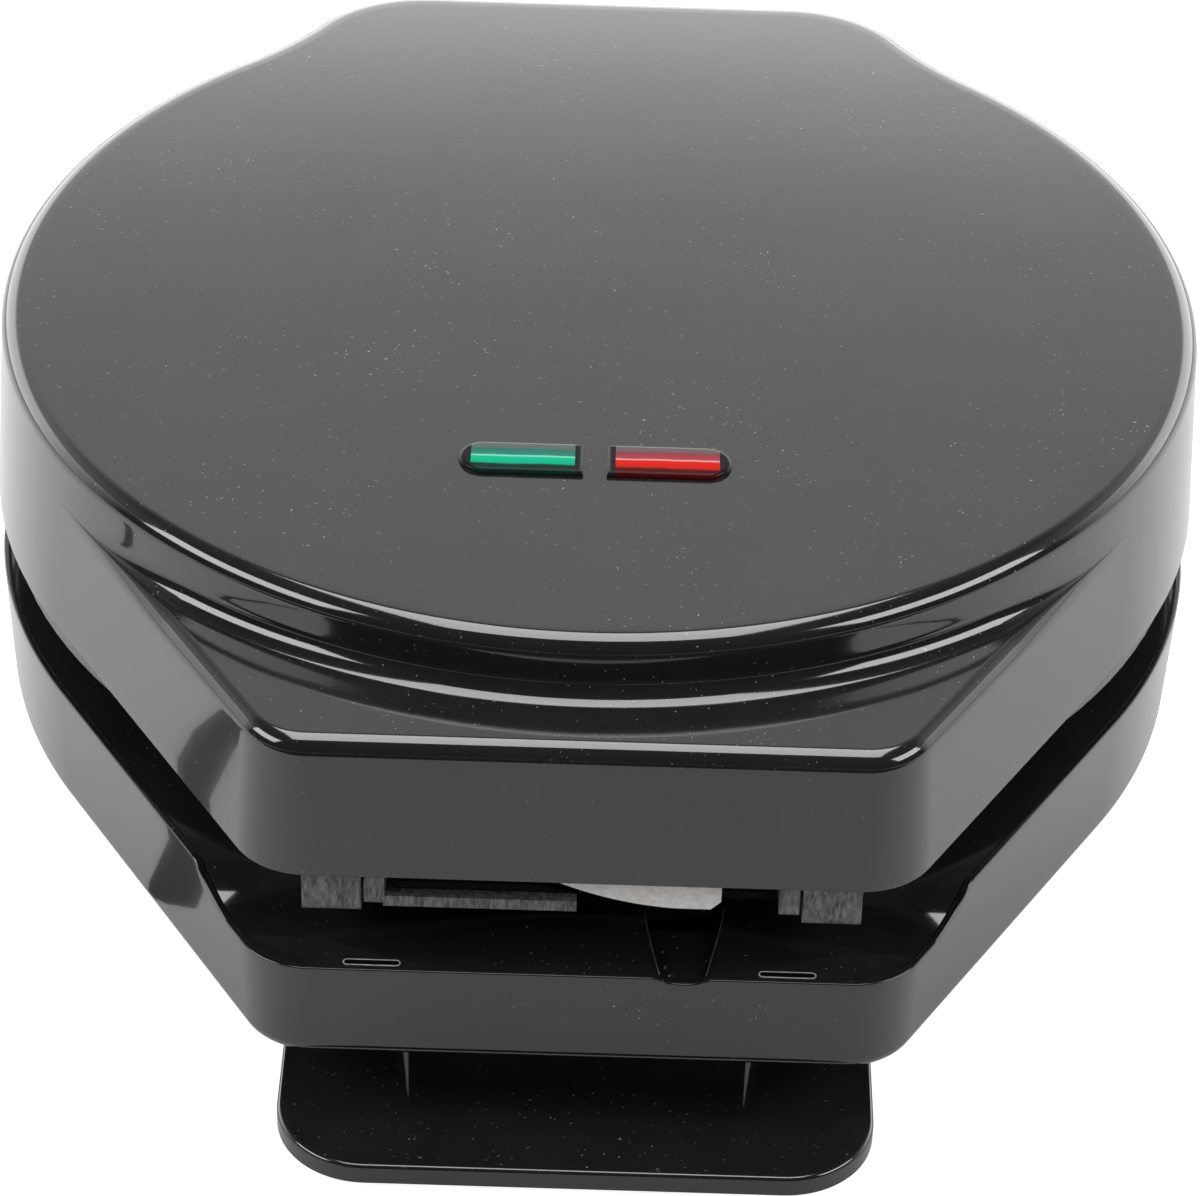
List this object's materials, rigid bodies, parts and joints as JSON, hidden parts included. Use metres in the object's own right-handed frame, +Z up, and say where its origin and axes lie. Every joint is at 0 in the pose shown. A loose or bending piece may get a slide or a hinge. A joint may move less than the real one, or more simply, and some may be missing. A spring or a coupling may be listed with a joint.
{
  "type": "omelette maker",
  "caption": "Glossy black two-plate electric omelette maker with a hinged lid, scooped front handles, indicator lights and cord-wrap feet",
  "frame": {"origin": "centre of the bounding box on the surface it stands on", "axes": "+X right seen from the front, +Y towards the hinge at the back, +Z up"},
  "size_m": [0.21, 0.2348, 0.0928],
  "materials": {
    "housing": "glossy black moulded plastic",
    "foot_plastic": "glossy black moulded plastic",
    "plate_coating": "grey grainy non-stick coating on die-cast metal",
    "steel": "plain steel",
    "bright_sheet": "bright sheet",
    "inner_plastic": "matt pale plastic",
    "rubber_pad": "matt rubber",
    "green_clear": "tinted clear plastic",
    "red_clear": "tinted clear plastic",
    "grey_grain": "grainy grey plastic",
    "pale_pad": "soft pale silicone"
  },
  "bodies": {
    "base": {"base_shell": "housing", "lower_deck": "housing", "lower_plate": "plate_coating", "lower_element": "steel", "lower_element_clamps": "steel", "lower_reflector": "bright_sheet", "lower_plate_screws": "steel", "thermostat": "steel", "thermal_fuse": "inner_plastic", "terminal_block": "inner_plastic", "cord_gland": "inner_plastic", "front_foot": "foot_plastic", "rear_foot": "foot_plastic", "rubber_feet": "rubber_pad", "foot_screws": "steel", "base_deck_screws": "steel", "hinge_brackets": "steel", "hinge_pins": "steel", "hinge_screws": "steel"},
    "lid": {"lid_shell": "housing", "upper_deck": "housing", "upper_plate": "plate_coating", "upper_element": "steel", "upper_element_clamps": "steel", "upper_reflector": "bright_sheet", "upper_plate_screws": "steel", "lid_deck_screws": "steel", "hinge_arms": "steel", "green_lens": "green_clear", "red_lens": "red_clear", "green_lamp": "green_clear", "red_lamp": "red_clear", "lamp_holder": "inner_plastic", "lamp_holder_screws": "steel", "handle_buffer": "pale_pad", "latch_lugs": "grey_grain", "latch_pins": "steel"},
    "latch": {"latch_clip": "grey_grain"}
  },
  "joints": [
    {"name": "lid_hinge", "type": "hinge", "parent": "base", "child": "lid", "pos_m": [0, 0.1099, 0.04975], "axis": [-1, 0, 0], "range_deg": [0, 95]},
    {"name": "latch_pivot", "type": "hinge", "parent": "lid", "child": "latch", "pos_m": [0, -0.0989, 0.053], "axis": [-1, 0, 0], "range_deg": [0, 30]}
  ]
}
